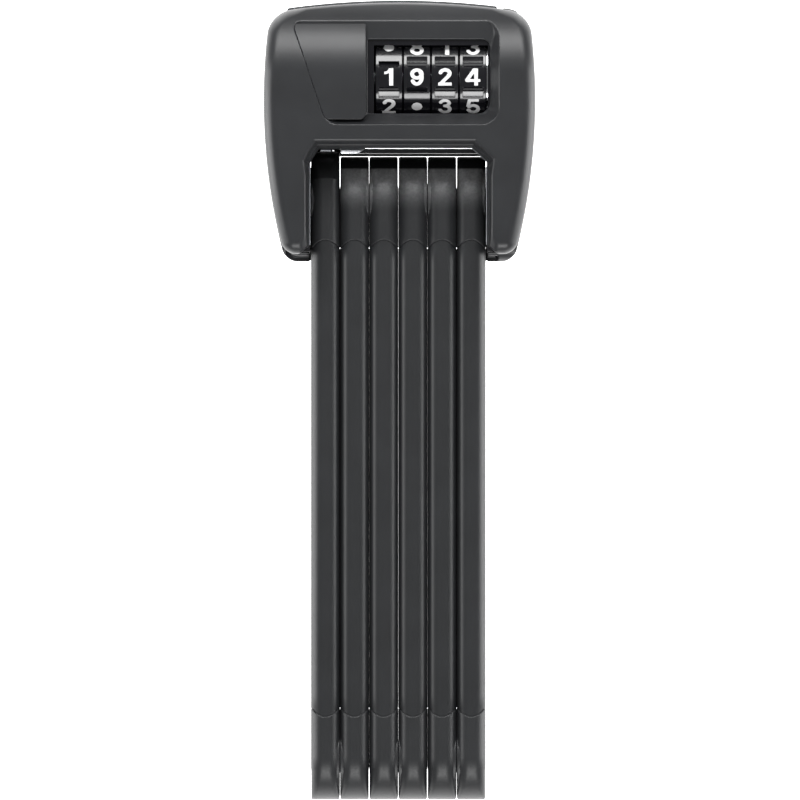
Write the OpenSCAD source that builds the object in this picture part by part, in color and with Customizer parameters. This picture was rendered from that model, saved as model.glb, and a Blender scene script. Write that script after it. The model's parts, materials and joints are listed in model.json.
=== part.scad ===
// Folding bike lock: six covered steel bars riveted into a zigzag, with a combination lock body.
// The lock lies on its back and folded. +Y runs from the bars to the lock body, +Z is its front,
// and +X is the side on which the bolt holds the last bar. The origin is in the resting face.

/* [Bars] */
// Distance between the two pivots of a bar
bar_reach = 137.6; // [100:0.2:160]
// Width of a bar, from the back to the front of the pack
bar_w = 21.2; // [21:0.1:21.4]
// Thickness of a bar with its cover
bar_t = 7.0; // [6.8:0.1:7.0]
// Thickness of the steel inside a bar
core_t = 5.0; // [4.6:0.1:5.2]
// Distance between the middles of two neighbouring bars
bar_pitch = 7.2; // [7.2:0.05:7.25]
// Radius of the rivets' shanks
rivet_r = 4.0; // [3.6:0.1:4.2]
// Radial clearance of a rivet in the bar that turns on it
rivet_gap = 0.05; // [0.03:0.01:0.1]

/* [Lock body] */
// Greatest width of the lock body
body_w = 67.2; // [67:0.1:68]
// Thickness of the lock body
body_t = 36.0; // [36:0.1:36.6]
// Wall thickness of the two covers
wall = 2.4; // [2.3:0.05:2.5]
// Height of the joint between the rear and the front cover
split_z = 22.0; // [21.8:0.1:22.2]

/* [Combination] */
// Radius of the number wheels
wheel_r = 12.4; // [12.2:0.1:12.4]
// Distance between the middles of two neighbouring wheels
wheel_pitch = 6.9; // [6.9:0.01:6.92]
// Gap between two neighbouring wheels
wheel_gap = 0.2; // [0.15:0.05:0.3]
// How far the bolt moves
bolt_throw = 3.2; // [3.1:0.1:3.2]

/* [Hidden] */
$fn = 96;

// Lengthwise places: the two rows of pivots and the whole length
head_rise = 49.2;
total_l = bar_reach + bar_w / 2 + head_rise;
low_y = bar_w / 2 - total_l / 2;
up_y = low_y + bar_reach;
pivot_z = bar_w / 2;
far = 200;

// Bars
bar_count = 6;
pack_x = -0.3;
edge_r = 3.0;
cap_l = 11.4;
sleeve_w = 20.6;
sleeve_t = bar_t + 0.1;
core_r = 9.3;
boss_r = 9.7;
head_r = 6.0;
head_t = 0.9;
first_end_r = 11.8;
function bar_x(i) = pack_x + (i - (bar_count + 1) / 2) * bar_pitch;
// Side of a bar's face that meets its partner: +1 is the right face, at the upper end
function upper_side(i) = i % 2 == 1 ? -1 : 1;

// Lock body, with heights measured from the upper row of pivots
crown_r = 203;
crown_top = 48.6;
side_r = 150;
widest_y = 24.5;
rear_foot = -15.3;
front_foot = -13.8;
shoulder_r = 5;
foot_r = 3;
brow_y = 31.5;
brow_r = 22;
brow_z = 14;
front_edge_r = 4.5;
rear_edge_r = 3.5;
strip_rise = 0.6;
strip_z = 9;
strip_x = [-27.8, 24.1];
throat_x = [-22.1, 21.6];
throat_top = 12.4;
throat_back_top = 11.2;
// The first bar's wider end needs a higher and narrower part of the throat
first_bar_top = 12.8;
first_bar_x = -14.4;
// Corners of the throat, and the flare of its front edge
throat_corner_x = [-19.9, 17.9];
throat_corner_y = 9.1;
flare_x = [-23.3, 22.8];
flare_d = 4;
flare_rise = 2.3;

// Cover screws, driven from the back into columns of the front cover
screw_at = [[-26.6, -10], [26.6, -10], [-20, 41.5], [30.8, 36.5]];
screw_r = 1.25;
screw_head_r = 2.3;
screw_top = 27;
column_r = 1.9;
column_z = 15;

// Steel case round the throat
case_x = -24.1;
case_y = [-12.8, 16];

// Wheels
wheel_y = 30.1;
wheel_z = 19.3;
wheel_x = -2.6;
digits = 10;
sleeve_r = 7.5;
spindle_r = 3.0;
fin_x = 1.5;
fin_r = 4.4;
collar_x = -13.5;
frame_x = [-8, 23.0];
well_x = [-6.3, 21.8];
washer_x = 21.5;
function wheel_at(i) = wheel_x + (i - 1) * wheel_pitch;

// Slide cover: thickness of its pad, and the heights of its plate, of the leaf and of the floor
pad_d = 0.8;
plate_z = [32.45, 32.85];
leaf_z = [32.1, 32.35];
floor_z = 32.0;
floor_t = 0.8;
tail_x = -28;
pad_x = -8.3;
slide_y = [21.0, 40.9];
frame_top = floor_z - floor_t - 0.1;

// Bolt side
plate_t = 1.4;
carrier_x = throat_x[1] + plate_t + bolt_throw + 0.2;
carrier_t = 1.6;
button_x = [25.4, 29.2];
button_z = [9.5, 19.5];
button_foot_y = 39;
button_seat_y = 35.1;

function unit(v) = v / norm(v);
function cross_right(p, r, q, s) =
    let (d = norm(q - p), a = (r * r - s * s + d * d) / (2 * d), h = sqrt(r * r - a * a))
    p + a * (q - p) / d + h * [(q - p).y, -(q - p).x] / d;

// Points of a polygon whose corners [x, y, radius] are rounded
function rounded(c, steps = 8) = [
    for (i = [0:len(c) - 1])
        let (p = [c[i].x, c[i].y], r = c[i].z, n = len(c),
             u = unit([c[(i + n - 1) % n].x, c[(i + n - 1) % n].y] - p),
             v = unit([c[(i + 1) % n].x, c[(i + 1) % n].y] - p),
             half = acos(u * v) / 2, m = p + unit(u + v) * r / sin(half),
             a = m - p, turn = 90 - half, side = cross([u.x, u.y, 0], [v.x, v.y, 0]).z > 0 ? 1 : -1)
        for (k = [0:steps])
            let (t = side * turn * (1 - 2 * k / steps))
            m - r / norm(a) * [a.x * cos(t) - a.y * sin(t), a.x * sin(t) + a.y * cos(t)]];

module both_sides() {
    children();
    mirror([1, 0, 0]) children();
}

// A slab along X whose section is drawn in Y and Z
module along_x(x0, x1) {
    translate([x0, 0, 0]) rotate([90, 0, 90]) linear_extrude(x1 - x0) children();
}

// A slab along Y whose section is drawn in X and Z
module along_y(y0, y1) {
    translate([0, y1, 0]) rotate([90, 0, 0]) linear_extrude(y1 - y0) children();
}

module block(a, b) {
    translate(a) cube(b - a);
}

module at_upper_pivot() {
    translate([0, up_y, 0]) children();
}

// Lock body seen from the front, shrunk by d
module body_plan(d, foot) {
    crown = [0, crown_top - crown_r];
    side = [body_w / 2 - side_r, widest_y];
    shoulder = cross_right(crown, crown_r - shoulder_r, side, side_r - shoulder_r);
    toe_y = foot + foot_r;
    toe = [side.x + sqrt(pow(side_r - foot_r, 2) - pow(toe_y - side.y, 2)), toe_y];
    difference() {
        intersection() {
            translate(crown) circle(crown_r - d, $fn = 720);
            translate(side) circle(side_r - d, $fn = 720);
            translate([-side.x, side.y]) circle(side_r - d, $fn = 720);
            translate([-body_w, foot + d]) square([2 * body_w, 100]);
        }
        both_sides() {
            corner_waste(shoulder, unit(shoulder - crown), unit(shoulder - side));
            corner_waste(toe, [0, -1], unit(toe - side));
        }
    }
    both_sides() {
        translate(shoulder) circle(shoulder_r - d);
        translate(toe) circle(foot_r - d);
    }
}

module corner_waste(c, u, v) {
    polygon([c, c + 20 * u, c + 20 * u + 20 * v, c + 20 * v]);
}

// Section in Y and Z: flat front that rolls back at the brow
module body_depth(d) {
    translate([-60, d]) square([60 + brow_y, body_t - 2 * d]);
    intersection() {
        translate([brow_y, brow_z]) circle(brow_r - d, $fn = 360);
        translate([brow_y - 1, d]) square([60, 60]);
    }
}

// Section in X and Z: long edges rounded
module body_girth(d) {
    for (s = [-1, 1]) {
        translate([s * (body_w / 2 - front_edge_r), body_t - front_edge_r]) circle(front_edge_r - d);
        translate([s * (body_w / 2 - rear_edge_r), rear_edge_r]) circle(rear_edge_r - d);
    }
    rim = body_w / 2 - d;
    translate([-(body_w / 2 - front_edge_r), d]) square([body_w - 2 * front_edge_r, body_t - 2 * d]);
    translate([-rim, rear_edge_r]) square([2 * rim, body_t - front_edge_r - rear_edge_r]);
    translate([-(body_w / 2 - rear_edge_r), d])
        square([body_w - 2 * rear_edge_r, body_t - front_edge_r - d]);
}

module blank(d, foot) {
    intersection() {
        linear_extrude(60) body_plan(d, foot);
        along_x(-50, 50) body_depth(d);
        along_y(-60, 60) body_girth(d);
    }
}

// The layer between two depths below the front skin
module skin_layer(d0, d1) {
    along_x(-40, 40) intersection() {
        difference() {
            body_depth(d0);
            body_depth(d1);
        }
        translate([-60, brow_z + 1]) square([120, 60]);
    }
}

module throat_cut(top, z0, z1) {
    block([throat_x[0], -60, z0], [throat_x[1], top, z1]);
}

module screw_columns(z0, z1, d) {
    intersection() {
        for (p = screw_at) translate([p.x, p.y, z0]) cylinder(r = column_r, h = z1 - z0);
        blank(d, rear_foot);
    }
}

module strip_band(d0, d1) {
    intersection() {
        difference() {
            linear_extrude(60) body_plan(d0, rear_foot);
            translate([0, 0, -1]) linear_extrude(62) body_plan(d1, rear_foot);
        }
        block([strip_x[0], 40, strip_z], [strip_x[1], 60, split_z]);
    }
}

module rear_cover() {
    color("#303134") at_upper_pivot() difference() {
        union() {
            difference() {
                intersection() {
                    blank(0, rear_foot);
                    block([-far, -far, 0], [far, far, split_z]);
                }
                blank(wall, rear_foot);
            }
            screw_columns(1, column_z, wall / 2);
            block([24.8, button_seat_y - 0.7, strip_z], [30.9, button_seat_y, button_z[1]]);
        }
        throat_cut(throat_back_top, -1, 40);
        block([throat_x[0], -60, -1], [first_bar_x, first_bar_top, 40]);
        strip_band(-2, 1.5);
        block([button_x[0] - 0.15, 42, button_z[0] - 0.15], [button_x[1] + 0.15, 60, button_z[1] + 0.15]);
        for (p = screw_at) translate(p) {
            translate([0, 0, -1]) cylinder(r = screw_head_r + 0.2, h = 2.4);
            translate([0, 0, -1]) cylinder(r = screw_r + 0.1, h = 40);
        }
    }
}

// Plan of the recess in the front, grown by g
module recess_plan(g = 0) {
    intersection() {
        polygon(rounded([[-27.3 - g, 45.6 + g, 3], [24.6 + g, 45.6 + g, 4.8],
            [24.6 + g, 18.3 - g, 4.5], [-18.05 - 1.4 * g, 18.3 - g, 2.6]]));
        translate([0, crown_top - crown_r]) circle(crown_r - 3.1 + g, $fn = 720);
    }
}

module window_plan() {
    polygon(rounded([[-7.8, 39.35, 0.5], [22.3, 39.35, 2], [22.3, 21.1, 3], [-7.8, 21.1, 0.5]]));
}

module pad_plan() {
    polygon(rounded([[-26.35, 43.7, 2.4], [pad_x, 43.7, 0.5], [pad_x, 19.6, 2], [-18.2, 19.6, 2]]));
}

// Throat with its two upper corners cut off, and flared towards the front
module throat_opening() {
    base = body_t - flare_d;
    above = body_t + 0.01;
    translate([0, 0, 5]) linear_extrude(60) polygon([[throat_x[0], -60], [throat_x[0], throat_corner_y],
        [throat_corner_x[0], throat_top], [throat_corner_x[1], throat_top],
        [throat_x[1], throat_corner_y], [throat_x[1], -60]]);
    along_y(-60, throat_top) polygon([[flare_x[0], above], [throat_x[0], base],
        [throat_x[1], base], [flare_x[1], above]]);
    along_x(throat_corner_x[0], throat_corner_x[1]) polygon([[throat_top - 0.01, base],
        [throat_top + flare_rise, above], [throat_top - 0.01, above]]);
}

module front_cover() {
    color("#2e2f32") at_upper_pivot() difference() {
        union() {
            difference() {
                intersection() {
                    blank(0, front_foot);
                    block([-far, -far, split_z], [far, far, far]);
                }
                blank(wall, front_foot);
            }
            intersection() {
                blank(0, front_foot);
                block([throat_x[0] - 1.2, -60, split_z], [throat_x[1] + 1.2, throat_top + 1.5, 60]);
            }
            screw_columns(column_z, split_z + 1, wall + 0.1);
            screw_columns(split_z, 34, wall / 2);
            intersection() {
                blank(0, front_foot);
                union() {
                    translate([0, 0, floor_z - floor_t]) linear_extrude(3) recess_plan(1.2);
                    block([tail_x - 1.3, slide_y[0] - 1, floor_z - floor_t], [pad_x, slide_y[1] + 1, 35]);
                }
            }
        }
        throat_opening();
        translate([0, 0, floor_z]) linear_extrude(10) recess_plan();
        block([tail_x - 0.3, slide_y[0] - 0.3, floor_z], [pad_x, slide_y[1] + 0.2, plate_z[1] + 0.1]);
        linear_extrude(60) window_plan();
        for (p = screw_at) translate([p.x, p.y, 0]) cylinder(r = screw_r - 0.05, h = screw_top + 0.5);
    }
}

module top_strip() {
    color("#26272a") at_upper_pivot() strip_band(-strip_rise, 1.5);
}

module lock_case() {
    plate = [case_x, throat_x[1] + plate_t];
    top = split_z - 0.5;
    color("#8d9094") at_upper_pivot() difference() {
        union() {
            block([plate[0], case_y[0], wall], [throat_x[0], case_y[1], top]);
            block([throat_x[1], case_y[0], wall], [plate[1], case_y[1], top]);
            block([plate[0], throat_back_top + 0.2, wall], [plate[1], case_y[1], top]);
        }
        block([throat_x[0], -20, 0], [first_bar_x, first_bar_top, 40]);
        translate([0, 0, pivot_z]) rotate([0, 90, 0]) {
            translate([0, 0, -40]) cylinder(r = rivet_r, h = 40);
            cylinder(r = rivet_r + 0.05, h = 40);
        }
    }
}

// Dark carrier of the number wheels: two bearing plates and the lips seen in the window
module wheel_frame() {
    color("#0c0d0f") at_upper_pivot() intersection() {
        difference() {
            block([frame_x[0], 18, 8], [frame_x[1], 43.1, frame_top]);
            block([well_x[0], 0, 0], [well_x[1], 37.9, 60]);
            along_x(well_x[0], well_x[1]) translate([wheel_y, wheel_z]) circle(wheel_r + 0.4);
            block([well_x[0], 0, 0], [well_x[1], 60, frame_top - 2.4]);
            along_x(-20, 40) translate([wheel_y, wheel_z]) circle(spindle_r + 0.05);
        }
        along_x(-50, 50) body_depth(wall + 0.1);
    }
    color("#0c0d0f") at_upper_pivot()
        block([well_x[0], 18, frame_top - 2.2], [well_x[1], 20.6, frame_top]);
}

module slide_cover() {
    color("#333437") at_upper_pivot() {
        intersection() {
            translate([0, 0, floor_z + 0.05]) linear_extrude(60) pad_plan();
            skin_layer(0, pad_d);
        }
        block([tail_x, slide_y[0], plate_z[0]], [pad_x, slide_y[1], plate_z[1]]);
        intersection() {
            along_x(-40, 40) body_depth(pad_d / 2);
            for (x = [-17.6, pad_x - 0.8])
                block([x, slide_y[0], plate_z[0]], [x + 0.8, slide_y[1], 60]);
        }
    }
}

module cover_leaf() {
    color("#1c1d1f") at_upper_pivot()
        block([tail_x, slide_y[0], leaf_z[0]], [pad_x - 0.1, slide_y[1], leaf_z[1]]);
}

module on_wheel_axis(x) {
    translate([x, up_y + wheel_y, wheel_z]) rotate([0, 90, 0]) children();
}

// A wheel: a drum with a finger notch between every two digits
module number_wheel(i) {
    w = wheel_pitch - wheel_gap;
    color("#101113") on_wheel_axis(wheel_at(i) - w / 2) difference() {
        cylinder(r = wheel_r, h = w);
        translate([0, 0, -1]) cylinder(r = sleeve_r, h = w + 2);
        for (k = [0:digits - 1]) rotate([0, 0, (k + 0.5) * 360 / digits])
            translate([wheel_r + 0.55, 0, 0.85]) rotate([0, 0, 30]) block([-2, -1.5, 0], [2, 0.5, 5]);
    }
}

// A sleeve turns with its wheel and lets a fin of the spindle pass only at one place
module code_sleeve(i) {
    w = wheel_pitch - 0.6;
    groove_r = 4.8;
    color("#b79a5b") on_wheel_axis(wheel_at(i) - w / 2) difference() {
        cylinder(r = sleeve_r, h = w);
        translate([0, 0, -1]) cylinder(r = spindle_r + 0.05, h = w + 2);
        translate([0, 0, -1]) cylinder(r = groove_r, h = 3.55);
        translate([0, 0, w - 1.9]) cylinder(r = groove_r, h = 3);
        block([-groove_r, -1.0, -1], [0, 1.0, w + 1]);
    }
}

module wheel_spindle() {
    color("#a9acb0") {
        on_wheel_axis(collar_x) cylinder(r = spindle_r, h = carrier_x - collar_x);
        on_wheel_axis(collar_x) cylinder(r = fin_r, h = 1);
        for (i = [1:4]) on_wheel_axis(wheel_at(i) + fin_x) block([-fin_r, -0.8, 0], [0, 0.8, 1]);
    }
}

module end_washer() {
    color("#e9eaec") on_wheel_axis(washer_x) difference() {
        cylinder(r = 12, h = 0.25);
        translate([0, 0, -1]) cylinder(r = spindle_r + 0.05, h = 3);
    }
}

// Four leaf springs on one strip, behind the wheels
module detent_comb() {
    color("#c9cbce") at_upper_pivot() {
        block([-6, 17, 3.9], [21.5, 20, 4.4]);
        for (i = [1:4]) block([wheel_at(i) - 1.8, 20, 3.9], [wheel_at(i) + 1.8, 31, 4.4]);
        for (i = [1:4]) along_x(wheel_at(i) - 1.8, wheel_at(i) + 1.8)
            translate([wheel_y, 5.4]) circle(1.2);
    }
    color("#c9cbce") at_upper_pivot() block([-6, 17, wall], [21.5, 18.5, 3.9]);
}

module bolt_carrier() {
    color("#9b9ea2") at_upper_pivot() difference() {
        along_x(carrier_x, carrier_x + carrier_t) {
            translate([0, pivot_z]) circle(4.5);
            translate([wheel_y, wheel_z]) circle(4);
            translate([0, pivot_z]) rotate(atan2(wheel_z - pivot_z, wheel_y))
                translate([0, -3]) square([norm([wheel_y, wheel_z - pivot_z]), 6]);
        }
        along_x(carrier_x - 1, carrier_x + 0.9) translate([0, pivot_z]) circle(3);
    }
}

module locking_bolt() {
    tip = throat_x[1] + 0.1;
    color("#c3c6c9") translate([tip, up_y, pivot_z]) rotate([0, 90, 0]) {
        cylinder(r1 = rivet_r - 0.8, r2 = rivet_r, h = 0.8);
        translate([0, 0, 0.8]) cylinder(r = rivet_r, h = carrier_x - tip - 0.8);
        translate([0, 0, carrier_x - tip]) cylinder(r = 3, h = 0.9);
    }
}

// A coil spring along Z as a swept wire
module coil_spring(r, wire, h, turns) {
    per = 14;
    ring = 8;
    n = round(turns * per);
    pts = [for (k = [0:n]) let (t = 360 * k / per, z = wire + (h - 2 * wire) * k / n)
        for (j = [0:ring - 1]) let (a = 360 * j / ring)
            [(r + wire * cos(a)) * cos(t), (r + wire * cos(a)) * sin(t), z + wire * sin(a)]];
    faces = [for (k = [0:n - 1], j = [0:ring - 1]) let (b = k * ring, e = (j + 1) % ring)
        for (f = [[b + j, b + e, b + ring + e], [b + j, b + ring + e, b + ring + j]]) f];
    polyhedron(pts, concat(faces, [[for (j = [ring - 1:-1:0]) j]], [[for (j = [0:ring - 1]) n * ring + j]]));
}

module bolt_spring() {
    color("#d4d6d8") on_wheel_axis(collar_x + 1) coil_spring(3.75, 0.32, frame_x[0] - collar_x - 1, 4.5);
}

module release_button() {
    color("#2a2b2e") at_upper_pivot() {
        intersection() {
            linear_extrude(60) body_plan(-0.3, rear_foot);
            block([button_x[0], 40, button_z[0]], [button_x[1], 60, button_z[1]]);
        }
        block([button_x[0] - 0.6, button_foot_y, button_z[0] - 0.3],
            [button_x[1] + 0.6, button_foot_y + 1, button_z[1] + 0.3]);
    }
}

module button_spring() {
    color("#d4d6d8") at_upper_pivot() translate([26.9, button_seat_y, 14.5]) rotate([-90, 0, 0])
        coil_spring(1.3, 0.22, button_foot_y - button_seat_y, 6);
}

module cover_screws() {
    color("#9a9ca0") at_upper_pivot() for (p = screw_at) translate([p.x, p.y, 0]) difference() {
        union() {
            translate([0, 0, 0.2]) cylinder(r = screw_head_r, h = 1.2);
            translate([0, 0, 1.4]) cylinder(r = screw_r - 0.05, h = screw_top - 1.4);
        }
        translate([0, 0, -1]) cylinder(r = 1.0, h = 2, $fn = 6);
    }
}

// A round hole or shank along X at a bar's end
module pivot_pin(y, x0, x1, r) {
    translate([x0, y, pivot_z]) rotate([0, 90, 0]) cylinder(r = r, h = x1 - x0);
}

module round_slab(w, t, r) {
    square([t - 2 * r, w], center = true);
    square([t, w - 2 * r], center = true);
    for (sx = [-1, 1], sy = [-1, 1]) translate([sx * (t / 2 - r), sy * (w / 2 - r)]) circle(r);
}

module bar_core(i) {
    x = bar_x(i);
    color("#7f8286") difference() {
        union() {
            block([x - core_t / 2, low_y, pivot_z - core_r], [x + core_t / 2, up_y, pivot_z + core_r]);
            pivot_pin(low_y, x - core_t / 2, x + core_t / 2, core_r);
            pivot_pin(up_y, x - core_t / 2, x + core_t / 2, core_r);
        }
        bar_holes(i);
    }
}

// A bar turns freely on its lower rivet when it is even, and on its upper one when it is odd
module bar_holes(i) {
    x = bar_x(i);
    free_low = i % 2 == 0;
    for (end = [0, 1]) {
        free = end == 0 ? free_low : !free_low || i == bar_count;
        y = end == 0 ? low_y : up_y;
        r = i == bar_count && end == 1 ? rivet_r + 0.2 : rivet_r + (free ? rivet_gap : 0);
        pivot_pin(y, x - bar_t, x + bar_t, r);
        if (!(i == bar_count && end == 1)) {
            face = (end == 1 ? -1 : 1) * upper_side(i);
            side = face * (bar_t / 2 - head_t - 0.1);
            reach = face * bar_t;
            pivot_pin(y, x + min(side, reach), x + max(side, reach), head_r + 0.2);
        }
    }
}

module bar_sleeve(i) {
    color("#26272a") translate([bar_x(i), 0, pivot_z]) difference() {
        along_y(low_y + cap_l, up_y - cap_l) round_slab(sleeve_w, sleeve_t, edge_r - 0.2);
        block([-core_t / 2, -far, -core_r], [core_t / 2, far, core_r]);
    }
}

module bar_cap(end_r) {
    along_y(0, cap_l) round_slab(bar_w, bar_t, edge_r);
    rotate([90, 0, 0]) rotate([0, 90, 0]) rotate_extrude() intersection() {
        round_slab(bar_t, 2 * end_r, edge_r);
        translate([0, -far]) square(2 * far);
    }
}

module bar_caps(i) {
    color("#2c2d30") difference() {
        translate([bar_x(i), 0, pivot_z]) difference() {
            union() {
                translate([0, low_y, 0]) bar_cap(bar_w / 2);
                translate([0, up_y, 0]) mirror([0, 1, 0]) bar_cap(bar_w / 2);
                if (i == 1) translate([0, up_y, 0]) intersection() {
                    rotate([0, 90, 0]) cylinder(r = first_end_r, h = bar_t - 2, center = true);
                    block([-far, 0, -pivot_z], [far, far, pivot_z]);
                }
                translate([0, low_y, 0]) boss(-upper_side(i));
                translate([0, up_y, 0]) boss(upper_side(i));
            }
            block([-core_t / 2, low_y, -core_r], [core_t / 2, up_y, core_r]);
            for (y = [low_y, up_y]) translate([0, y, 0]) rotate([0, 90, 0])
                cylinder(r = core_r, h = core_t, center = true);
        }
        bar_holes(i);
    }
}

// Round face that meets the neighbouring bar
module boss(side) {
    rotate([0, 90, 0]) translate([0, 0, side > 0 ? 0 : -bar_t / 2]) cylinder(r = boss_r, h = bar_t / 2);
}

// Rivet i is fast in bar i and bar i + 1 turns on it
module rivet(i) {
    x0 = bar_x(i) - bar_t / 2;
    x1 = bar_x(i + 1) + bar_t / 2;
    y = i % 2 == 1 ? low_y : up_y;
    color("#b4b6b9") {
        pivot_pin(y, x0 + head_t, x1 - head_t, rivet_r);
        pivot_pin(y, x0, x0 + head_t, head_r);
        pivot_pin(y, x1 - head_t, x1, head_r);
    }
}

module pivot_rivet() {
    x0 = case_x - 1.1;
    x1 = bar_x(1) + bar_t / 2;
    color("#b4b6b9") {
        pivot_pin(up_y, x0, case_x, head_r);
        pivot_pin(up_y, case_x, x1 - head_t, rivet_r);
        pivot_pin(up_y, x1 - head_t, x1, head_r);
    }
}

rear_cover();
front_cover();
top_strip();
lock_case();
wheel_frame();
slide_cover();
cover_leaf();
number_wheel(1);  // number_wheel_1
number_wheel(2);  // number_wheel_2
number_wheel(3);  // number_wheel_3
number_wheel(4);  // number_wheel_4
code_sleeve(1);  // code_sleeve_1
code_sleeve(2);  // code_sleeve_2
code_sleeve(3);  // code_sleeve_3
code_sleeve(4);  // code_sleeve_4
wheel_spindle();
end_washer();
detent_comb();
bolt_carrier();
locking_bolt();
bolt_spring();
release_button();
button_spring();
cover_screws();
pivot_rivet();
bar_core(1);  // bar_core_1
bar_core(2);  // bar_core_2
bar_core(3);  // bar_core_3
bar_core(4);  // bar_core_4
bar_core(5);  // bar_core_5
bar_core(6);  // bar_core_6
bar_sleeve(1);  // bar_sleeve_1
bar_sleeve(2);  // bar_sleeve_2
bar_sleeve(3);  // bar_sleeve_3
bar_sleeve(4);  // bar_sleeve_4
bar_sleeve(5);  // bar_sleeve_5
bar_sleeve(6);  // bar_sleeve_6
bar_caps(1);  // bar_caps_1
bar_caps(2);  // bar_caps_2
bar_caps(3);  // bar_caps_3
bar_caps(4);  // bar_caps_4
bar_caps(5);  // bar_caps_5
bar_caps(6);  // bar_caps_6
rivet(1);  // rivet_1
rivet(2);  // rivet_2
rivet(3);  // rivet_3
rivet(4);  // rivet_4
rivet(5);  // rivet_5
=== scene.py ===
import json
import math

import bpy
import numpy as np
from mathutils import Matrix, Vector


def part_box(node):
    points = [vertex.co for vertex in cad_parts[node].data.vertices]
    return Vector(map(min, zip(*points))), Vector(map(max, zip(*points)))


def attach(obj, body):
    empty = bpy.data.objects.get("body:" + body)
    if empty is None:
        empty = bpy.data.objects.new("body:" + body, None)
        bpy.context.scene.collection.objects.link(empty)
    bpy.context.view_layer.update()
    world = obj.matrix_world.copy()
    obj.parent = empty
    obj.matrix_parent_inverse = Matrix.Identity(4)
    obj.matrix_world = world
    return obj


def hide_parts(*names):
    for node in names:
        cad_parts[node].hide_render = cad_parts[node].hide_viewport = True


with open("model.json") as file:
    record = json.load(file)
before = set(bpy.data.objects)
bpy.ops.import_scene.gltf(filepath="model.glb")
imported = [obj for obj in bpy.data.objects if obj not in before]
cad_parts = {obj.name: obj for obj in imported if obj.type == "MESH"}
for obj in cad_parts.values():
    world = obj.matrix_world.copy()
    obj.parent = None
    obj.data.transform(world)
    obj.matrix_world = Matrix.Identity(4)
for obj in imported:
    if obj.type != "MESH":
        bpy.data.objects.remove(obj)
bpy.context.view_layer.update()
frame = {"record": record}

M = 0.001
BARS = 6
WHEELS = 4


def box_mm(node):
    lo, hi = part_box(node)
    return [v / M for v in lo], [v / M for v in hi]


# ---------------------------------------------------------------- places taken from the frame
joints = {j["name"]: j for j in frame["record"]["behaviour"]["joints"]}
UP_Y, PIVOT_Z = [v / M for v in joints["bar_1_hinge"]["pos_m"][1:]]
LOW_Y = joints["bar_2_hinge"]["pos_m"][1] / M
WHEEL_Y, WHEEL_Z = [v / M for v in joints["wheel_1_turn"]["pos_m"][1:]]
BODY_LO, BODY_HI = box_mm("rear_cover")
FRONT_LO, FRONT_HI = box_mm("front_cover")
BODY_W = BODY_HI[0] - BODY_LO[0]
BODY_T = FRONT_HI[2]
SPLIT_Z = FRONT_LO[2]
REAR_FOOT = BODY_LO[1]
FRONT_FOOT = FRONT_LO[1]
BAR_X = [sum(v[0] for v in box_mm(f"bar_caps_{i}")) / 2 for i in range(1, BARS + 1)]
BAR_PITCH = BAR_X[1] - BAR_X[0]
WHEEL_X = [sum(v[0] for v in box_mm(f"number_wheel_{i}")) / 2 for i in range(1, WHEELS + 1)]
WHEEL_W = box_mm("number_wheel_1")[1][0] - box_mm("number_wheel_1")[0][0]
WHEEL_R = (box_mm("number_wheel_1")[1][1] - box_mm("number_wheel_1")[0][1]) / 2


# ---------------------------------------------------------------- solids as distance functions
def round_max(a, b, r):
    """Intersection of two solids whose common edge is rounded with radius r."""
    u, v = np.maximum(a + r, 0), np.maximum(b + r, 0)
    return np.minimum(np.maximum(a, b), -r) + np.hypot(u, v)


def cut(a, b, r):
    """Solid a without solid b, with the edge of the cut rounded with radius r."""
    return round_max(a, -b, r)


def half_planes(x, y, *planes):
    """Convex outline from (point, outward direction) pairs."""
    d = None
    for (px, py), (nx, ny) in planes:
        n = math.hypot(nx, ny)
        e = ((x - px) * nx + (y - py) * ny) / n
        d = e if d is None else np.maximum(d, e)
    return d


def slab(v, lo, hi):
    """The space between two parallel planes."""
    return np.maximum(lo - v, v - hi)


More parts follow.
